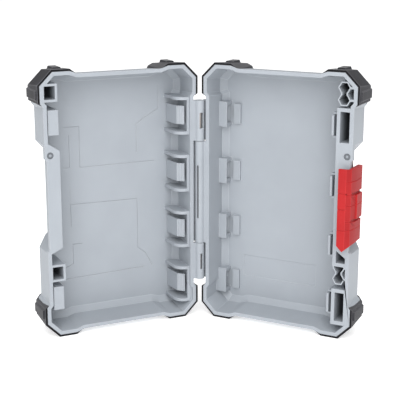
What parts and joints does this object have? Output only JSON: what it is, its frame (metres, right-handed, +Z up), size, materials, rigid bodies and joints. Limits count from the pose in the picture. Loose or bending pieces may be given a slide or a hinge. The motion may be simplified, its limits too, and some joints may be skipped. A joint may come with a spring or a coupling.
{
  "type": "hinged tool case",
  "caption": "Small hard tool case standing open on its end: two grey shells on a long hinge pin, black rubber corner bumpers, red side latch, sockets and spring clips inside.",
  "frame": {"origin": "middle of the open case's bounding box, on the floor it stands on", "axes": "+Z up along the hinge pin, +X along the base shell's rim from the hinge to the latch, +Y into the base shell, away from its rim"},
  "size_m": [0.2456, 0.1448, 0.2206],
  "materials": {
    "shell": "fine moulded texture",
    "bumper": "matte",
    "latch": "satin",
    "pin": "drawn wire"
  },
  "bodies": {
    "base": {"base_shell": "shell", "hinge_pin": "pin", "latch_pin": "pin", "base_bumper_lower_hinge": "bumper", "base_bumper_upper_hinge": "bumper", "base_bumper_lower_latch": "bumper", "base_bumper_upper_latch": "bumper"},
    "lid": {"lid_shell": "shell", "lid_bumper_lower_hinge": "bumper", "lid_bumper_upper_hinge": "bumper", "lid_bumper_lower_latch": "bumper", "lid_bumper_upper_latch": "bumper"},
    "latch": {"latch": "latch"},
    "lid_clip_1": {"lid_clip_1": "shell"},
    "base_clip_1": {"base_clip_1": "shell"},
    "lid_clip_2": {"lid_clip_2": "shell"},
    "base_clip_2": {"base_clip_2": "shell"},
    "lid_clip_3": {"lid_clip_3": "shell"},
    "base_clip_3": {"base_clip_3": "shell"},
    "lid_clip_4": {"lid_clip_4": "shell"},
    "base_clip_4": {"base_clip_4": "shell"}
  },
  "joints": [
    {"name": "lid_hinge", "type": "hinge", "parent": "base", "child": "lid", "pos_m": [-0.01721, 0.03839, 0.1103], "axis": [0, 0, 1], "range_deg": [-53.2, 126.8]},
    {"name": "latch_hinge", "type": "hinge", "parent": "base", "child": "latch", "pos_m": [0.11209, 0.05159, 0.1104], "axis": [0, 0, 1], "range_deg": [0, 80]},
    {"name": "lid_clip_1_flex", "type": "hinge", "parent": "lid", "child": "lid_clip_1", "pos_m": [-0.05072, 0.04235, 0.0287], "axis": [0, 0, 1], "range_deg": [0, 4], "stiffness_Nm_per_rad": 0.3},
    {"name": "lid_clip_2_flex", "type": "hinge", "parent": "lid", "child": "lid_clip_2", "pos_m": [-0.05072, 0.04235, 0.0776], "axis": [0, 0, 1], "range_deg": [0, 4], "stiffness_Nm_per_rad": 0.3},
    {"name": "lid_clip_3_flex", "type": "hinge", "parent": "lid", "child": "lid_clip_3", "pos_m": [-0.05072, 0.04235, 0.1265], "axis": [0, 0, 1], "range_deg": [0, 4], "stiffness_Nm_per_rad": 0.3},
    {"name": "lid_clip_4_flex", "type": "hinge", "parent": "lid", "child": "lid_clip_4", "pos_m": [-0.05072, 0.04235, 0.1754], "axis": [0, 0, 1], "range_deg": [0, 4], "stiffness_Nm_per_rad": 0.3},
    {"name": "base_clip_1_flex", "type": "hinge", "parent": "base", "child": "base_clip_1", "pos_m": [0.09929, 0.06759, 0.0295], "axis": [0, 0, 1], "range_deg": [0, 4], "stiffness_Nm_per_rad": 0.3},
    {"name": "base_clip_2_flex", "type": "hinge", "parent": "base", "child": "base_clip_2", "pos_m": [0.09929, 0.06759, 0.0784], "axis": [0, 0, 1], "range_deg": [0, 4], "stiffness_Nm_per_rad": 0.3},
    {"name": "base_clip_3_flex", "type": "hinge", "parent": "base", "child": "base_clip_3", "pos_m": [0.09929, 0.06759, 0.1273], "axis": [0, 0, 1], "range_deg": [0, 4], "stiffness_Nm_per_rad": 0.3},
    {"name": "base_clip_4_flex", "type": "hinge", "parent": "base", "child": "base_clip_4", "pos_m": [0.09929, 0.06759, 0.1762], "axis": [0, 0, 1], "range_deg": [0, 4], "stiffness_Nm_per_rad": 0.3}
  ]
}
